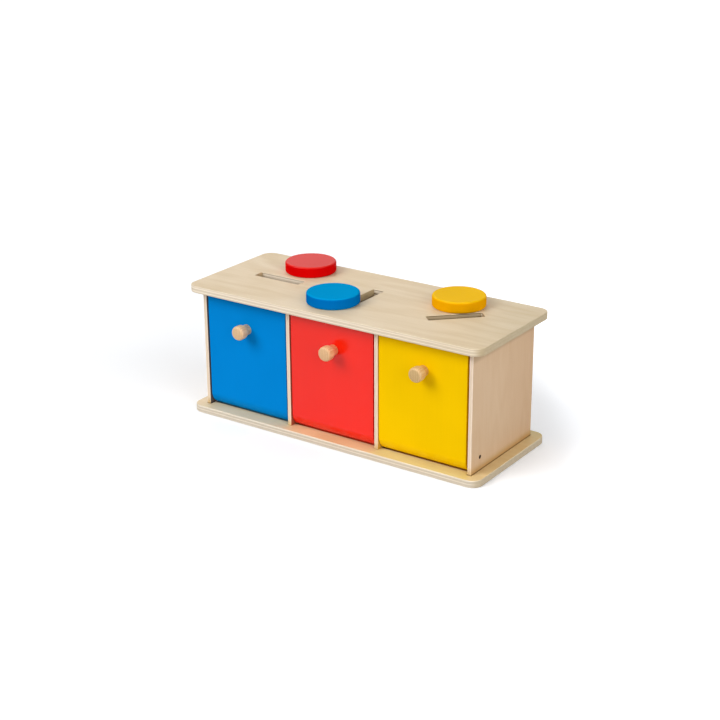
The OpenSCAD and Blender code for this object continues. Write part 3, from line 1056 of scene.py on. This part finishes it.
screw = {
    "shankD": 3.5,
    "headT": 2.2,
    "crown": 0.9,  # rise of the domed head above its rim
    "crossL": 4.2,
    "crossW": 0.9,
    "crossDepth": 1.1,
    "crossSoft": (0.3, 0.25),  # slope of the cross's ends and sides
    "threadPitch": 1.3,
    "threadDepth": 0.35,
    "tipL": 3,
    "core": 0.05,  # last rings round the poles: share of the shank's radius, and radius on the head
    "rings": (60, 3, 40),  # on the shank, the head's side and its dome
    "steps": 96,
}


# One bar of the cross: 1 inside it and 0 outside, with straight slopes
def crossBar(u, v):
    endSoft, sideSoft = screw["crossSoft"]
    lengthwise = np.clip((screw["crossL"] / 2 - np.abs(u)) / endSoft, 0, 1)
    return lengthwise * np.clip((screw["crossW"] / 2 - np.abs(v)) / sideSoft, 0, 1)


# Pan head with a cross sunk in its dome: height is a parabola of the radius less a cross-shaped pit;
# below it the shank's radius swells with height less turn, which winds the thread
def screwShape(centre, headR, length):
    shankRings, sideRings, domeRings = screw["rings"]
    angle = np.linspace(0, 2 * np.pi, screw["steps"], endpoint=False)[None, :]
    tip = length - screw["headT"]
    down = np.linspace(tip, 0, shankRings)[:, None]
    taper = np.clip((tip - down) / screw["tipL"], screw["core"], 1)
    wind = np.abs(2 * ((down / screw["threadPitch"] - angle / (2 * np.pi)) % 1) - 1)
    shankR = taper * (screw["shankD"] / 2 - screw["threadDepth"] * wind)
    rimZ = screw["headT"] - screw["crown"]
    sideZ = np.concatenate([[0], np.linspace(0, rimZ, sideRings)])[:, None]  # foot doubled for a sharp corner
    topR = np.linspace(headR, screw["core"], domeRings)[:, None]
    x, y = topR * np.cos(angle), topR * np.sin(angle)
    pit = np.maximum(crossBar(x, y), crossBar(y, x))
    topZ = rimZ + screw["crown"] * (1 - (topR / headR) ** 2) - screw["crossDepth"] * pit
    full = np.ones_like(angle)
    radius = np.concatenate([shankR, headR * full * np.ones_like(sideZ), topR * full])
    height = np.concatenate([-down * full, sideZ * full, topZ])
    points = np.stack([radius * np.cos(angle), radius * np.sin(angle), height], 2).reshape(-1, 3)
    poles = np.array([[0, 0, -tip], [0, 0, topZ[-1].mean()]])
    return np.concatenate([points, poles]) @ carried["y"] + np.array(centre), poledFaces(*radius.shape)


def makeScrew(bay):
    low, high = nodeBox(bay + "_knob_screw")
    x, _, z = (low + high) / 2
    centre = (x, high[1] - screw["headT"], z)
    points, faces = screwShape(centre, (high[0] - low[0]) / 2, high[1] - low[1])
    bare = bpy.data.meshes.new("screwNormals")
    bare.from_pydata(points.tolist(), [], faces)
    normals = np.zeros(3 * len(points))
    bare.vertices.foreach_get("normal", normals)
    bpy.data.meshes.remove(bare)
    shape = (points, normals.reshape(-1, 3), faces)
    makePiece(bay + "_knob_screw", "_crossed", bay + "_bin", "steel", shape, "y", "y")


# Discs

disc = {"edgeR": 1.9, "steps": 112}


def makeDisc(bay):
    node = bay + "_disc"
    low, high = nodeBox(node)
    profile, lean = barProfile((high[0] - low[0]) / 2, low[2], high[2], disc["edgeR"])
    x, y, _ = (low + high) / 2
    shape = turnedShape("z", profile, lean, (x, y, 0), disc["steps"])
    makePiece(node, "_painted", "loose_" + node, bay + "Disc", shape, "z", "x")


for bay in bays:
    makeFace(bay)
    makeSide(bay, "_left_side")
    makeSide(bay, "_right_side")
    makePanel(bay, "_floor", "x", "floorPly")
    makePanel(bay, "_back", "y", "backPly")
    makeKnob(bay)
    makeScrew(bay)
    makeDisc(bay)
    print(bay, "bin, knob, screw and disc made")


# Floor and light

ground = {
    "tone": (0.955, 0.965, 0.98),  # as seen
    "bounce": 0.5,  # what it throws back on the case
    "glow": (0.97, 1.0, 1.06),
    "lift": (0.09, 0.19, 0.41),  # glow at the case's left end, at its far right corner, and away from that
    "reach": 44,  # distance over which it grows from there
    "heading": 35,  # degrees from the case's length towards its back
    "half": 9000,
    "drop": 0.2,
}

lamps = {  # degrees from the front towards the right end, degrees up, strength, degrees across
    "key": (-31, 34, 2.0, 36),
    "front": (34, 25, 0.7, 50),
    "top": (-30, 70, 0.58, 50),
    "rightLow": (78, 20, 1.23, 50),
    "right": (90, 45, 0.4, 50),
    "back": (-135, 45, 0.72, 50),
}


# Light Path's camera, glossy and transmission rays, as one switch
def seenDirectly(tree):
    rays = put(tree, "LightPath").outputs
    seen = maths("MAXIMUM", rays["Is Camera Ray"], rays["Is Glossy Ray"])
    return maths("MAXIMUM", seen, rays["Is Transmission Ray"])


# The floor's glow grows along a heading, most of it past the base board's far right corner, so that the
# shadow ends near it
def glowStrength(tree):
    turn = math.radians(ground["heading"])
    heading = np.array([math.cos(turn), math.sin(turn), 0])
    corner = float(nodeBox("base_board")[1] @ heading)
    inputs = {0: objectPlace(tree), 1: heading.tolist()}
    along = put(tree, "VectorMath", inputs, operation="DOT_PRODUCT").outputs["Value"]
    left, near, far = ground["lift"]
    beside = times(above(along, -corner, corner), near - left)
    away = times(above(along, corner, corner + ground["reach"]), far - near)
    return plus(beside, away, left)


def makeFloor():
    half, z = ground["half"] * mm, -ground["drop"] * mm
    mesh = bpy.data.meshes.new("floor")
    mesh.from_pydata([(x, y, z) for x, y in rectangle(-half, -half, half, half)], [], [(0, 1, 2, 3)])
    material = bpy.data.materials.new("paleFloor")
    material.use_nodes = True
    tree = material.node_tree
    tree.nodes.remove(tree.nodes["Principled BSDF"])
    paper = put(tree, "BsdfDiffuse", {"Color": (*ground["tone"], 1)})
    dull = put(tree, "BsdfDiffuse", {"Color": (*[ground["bounce"]] * 3, 1)})
    glow = put(tree, "Emission", {"Color": (*ground["glow"], 1), "Strength": glowStrength(tree)})
    lifted = put(tree, "AddShader", {0: paper.outputs[0], 1: glow.outputs[0]})
    shown = put(tree, "MixShader", {0: seenDirectly(tree), 1: dull.outputs[0], 2: lifted.outputs[0]})
    tree.links.new(shown.outputs[0], tree.nodes["Material Output"].inputs["Surface"])
    mesh.materials.append(material)
    floor = addObject("floor", mesh)


def makeLamp(name, azimuth, elevation, strength, spread):
    lamp = bpy.data.lights.new(name, "SUN")
    lamp.energy = strength
    lamp.angle = math.radians(spread)
    sun = addObject(name, lamp)
    sun.rotation_euler = (math.radians(90 - elevation), 0, math.radians(azimuth))


# White where it is seen directly or mirrored in a gloss, with no diffuse light on the case
def makeSky():
    world = bpy.data.worlds.new("studio")
    bpy.context.scene.world = world
    world.use_nodes = True
    background = world.node_tree.nodes["Background"]
    world.node_tree.links.new(seenDirectly(world.node_tree), background.inputs["Strength"])
    background.inputs["Color"].default_value = (1, 1, 1, 1)


makeFloor()
for name, setting in lamps.items():
    makeLamp(name, *setting)
makeSky()
bpy.context.scene.view_settings.view_transform = "Standard"
print("floor and light set")
